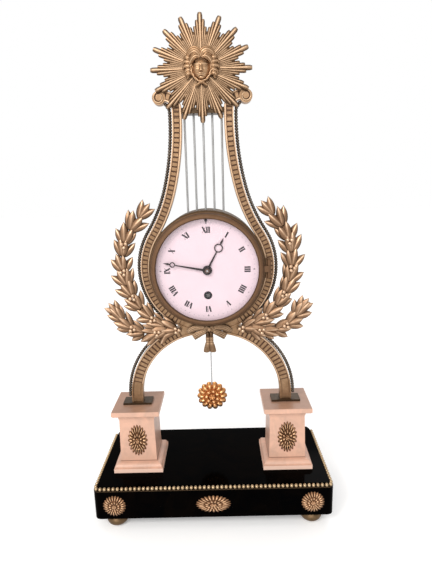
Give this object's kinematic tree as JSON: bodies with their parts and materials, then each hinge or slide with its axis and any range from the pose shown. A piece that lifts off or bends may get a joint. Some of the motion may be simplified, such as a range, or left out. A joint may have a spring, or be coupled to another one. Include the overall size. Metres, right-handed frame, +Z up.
{
  "type": "lyre mantel clock",
  "caption": "Lyre-shaped pendulum mantel clock: gilt arms and legs on marble pedestals hold a round drum movement with enamel dial, sunburst top and laurel sprays.",
  "frame": {"origin": "on the floor below the middle of the outer box", "axes": "+Z up, the dial faces -Y, +X to the viewer's right"},
  "size_m": [0.24, 0.1134, 0.4854],
  "materials": {
    "black_marble": "polished",
    "pale_marble": "honed",
    "edging_brass": "burnished",
    "gilt_bronze": "antique gilt",
    "laurel_bronze": "antique gilt",
    "bob_gilt": "gilt",
    "dark_bronze": "patinated",
    "string_steel": "drawn",
    "case_brass": "satin",
    "glass": "clear",
    "enamel": "glossy",
    "blued_steel": "blued",
    "movement_brass": "polished",
    "steel": "polished"
  },
  "bodies": {
    "stand": {"base_slab": "black_marble", "base_beading": "edging_brass", "bun_feet": "gilt_bronze", "base_rosettes": "gilt_bronze", "base_patera": "gilt_bronze", "pedestal_left": "pale_marble", "pedestal_right": "pale_marble", "pedestal_patera_left": "gilt_bronze", "pedestal_patera_right": "gilt_bronze", "leg_left": "gilt_bronze", "leg_right": "gilt_bronze", "arm_left": "gilt_bronze", "arm_right": "gilt_bronze", "leg_pearls_left": "dark_bronze", "leg_pearls_right": "dark_bronze", "arm_pearls_left": "dark_bronze", "arm_pearls_right": "dark_bronze", "crossbar": "gilt_bronze", "strings": "string_steel", "sunburst": "gilt_bronze", "sun_mask": "gilt_bronze", "laurel_left": "laurel_bronze", "laurel_right": "laurel_bronze", "ribbon_bow": "gilt_bronze", "tassels": "gilt_bronze", "drum_case": "case_brass", "bezel_hinge_pin": "case_brass", "dial": "enamel", "front_plate": "movement_brass", "back_plate": "movement_brass", "plate_pillars": "movement_brass", "back_cock": "movement_brass"},
    "bezel": {"bezel": "gilt_bronze", "glass": "glass"},
    "rear_cover": {"rear_cover": "case_brass"},
    "winding": {"winding_arbor": "steel", "ratchet_wheel": "steel"},
    "click": {"click": "steel"},
    "barrel": {"barrel": "movement_brass", "barrel_cover": "movement_brass", "mainspring": "steel"},
    "intermediate": {"intermediate_wheel": "movement_brass", "intermediate_arbor": "steel"},
    "centre": {"centre_wheel": "movement_brass", "centre_arbor": "steel"},
    "minute_train": {"cannon_pinion": "steel", "minute_hand": "blued_steel", "hand_collet": "movement_brass"},
    "third": {"third_wheel": "movement_brass", "third_arbor": "steel"},
    "escape": {"escape_wheel": "movement_brass", "escape_arbor": "steel"},
    "pallets": {"pallet_anchor": "steel", "pallet_arbor": "steel"},
    "pendulum": {"suspension_spring": "steel", "pendulum_rod": "steel", "pendulum_bob": "bob_gilt"},
    "motion": {"motion_wheel": "movement_brass"},
    "hour_train": {"hour_wheel": "movement_brass", "hour_hand": "blued_steel"}
  },
  "joints": [
    {"name": "minute_spin", "type": "hinge", "parent": "stand", "child": "minute_train", "pos_m": [0, -0.00225, 0.2586], "axis": [0, 1, 0], "continuous": true},
    {"name": "centre_spin", "type": "hinge", "parent": "stand", "child": "centre", "pos_m": [0, -0.00225, 0.2586], "axis": [0, 1, 0], "continuous": true},
    {"name": "hour_spin", "type": "hinge", "parent": "stand", "child": "hour_train", "pos_m": [0, -0.00225, 0.2586], "axis": [0, 1, 0], "continuous": true},
    {"name": "motion_spin", "type": "hinge", "parent": "stand", "child": "motion", "pos_m": [-0.00866, -0.00225, 0.2636], "axis": [0, 1, 0], "continuous": true},
    {"name": "intermediate_spin", "type": "hinge", "parent": "stand", "child": "intermediate", "pos_m": [0.01536, -0.00225, 0.24879], "axis": [0, 1, 0], "continuous": true},
    {"name": "barrel_spin", "type": "hinge", "parent": "stand", "child": "barrel", "pos_m": [0, -0.00225, 0.2336], "axis": [0, 1, 0], "continuous": true},
    {"name": "third_spin", "type": "hinge", "parent": "stand", "child": "third", "pos_m": [-0.01101, -0.00225, 0.27233], "axis": [0, 1, 0], "continuous": true},
    {"name": "escape_spin", "type": "hinge", "parent": "stand", "child": "escape", "pos_m": [0, -0.00225, 0.2831], "axis": [0, 1, 0], "continuous": true},
    {"name": "winding_turn", "type": "hinge", "parent": "stand", "child": "winding", "pos_m": [0, -0.00225, 0.2336], "axis": [0, 1, 0], "range_deg": [0, 1620]},
    {"name": "click_lift", "type": "hinge", "parent": "stand", "child": "click", "pos_m": [0.013, -0.00225, 0.2426], "axis": [0, 1, 0], "range_deg": [0, 12]},
    {"name": "pendulum_swing", "type": "hinge", "parent": "stand", "child": "pendulum", "pos_m": [0, -0.00225, 0.2971], "axis": [0, 1, 0], "range_deg": [-4, 4]},
    {"name": "pallet_rock", "type": "hinge", "parent": "stand", "child": "pallets", "pos_m": [0, -0.00225, 0.2971], "axis": [0, 1, 0], "range_deg": [-4, 4]},
    {"name": "bezel_hinge", "type": "hinge", "parent": "stand", "child": "bezel", "pos_m": [0.0596, -0.01595, 0.2586], "axis": [0, 0, 1], "range_deg": [0, 100]},
    {"name": "cover_pull", "type": "slide", "parent": "stand", "child": "rear_cover", "axis": [0, 1, 0], "range_m": [0, 0.04]}
  ],
  "couplings": [
    {"joint": "hour_spin", "follows": "minute_spin", "ratio": 0.083333},
    {"joint": "motion_spin", "follows": "minute_spin", "ratio": -0.33333},
    {"joint": "escape_spin", "follows": "third_spin", "ratio": -10},
    {"joint": "centre_spin", "follows": "third_spin", "ratio": -0.1},
    {"joint": "intermediate_spin", "follows": "third_spin", "ratio": 0.0125},
    {"joint": "barrel_spin", "follows": "third_spin", "ratio": -0.0017857},
    {"joint": "pallet_rock", "follows": "pendulum_swing", "ratio": 1}
  ]
}
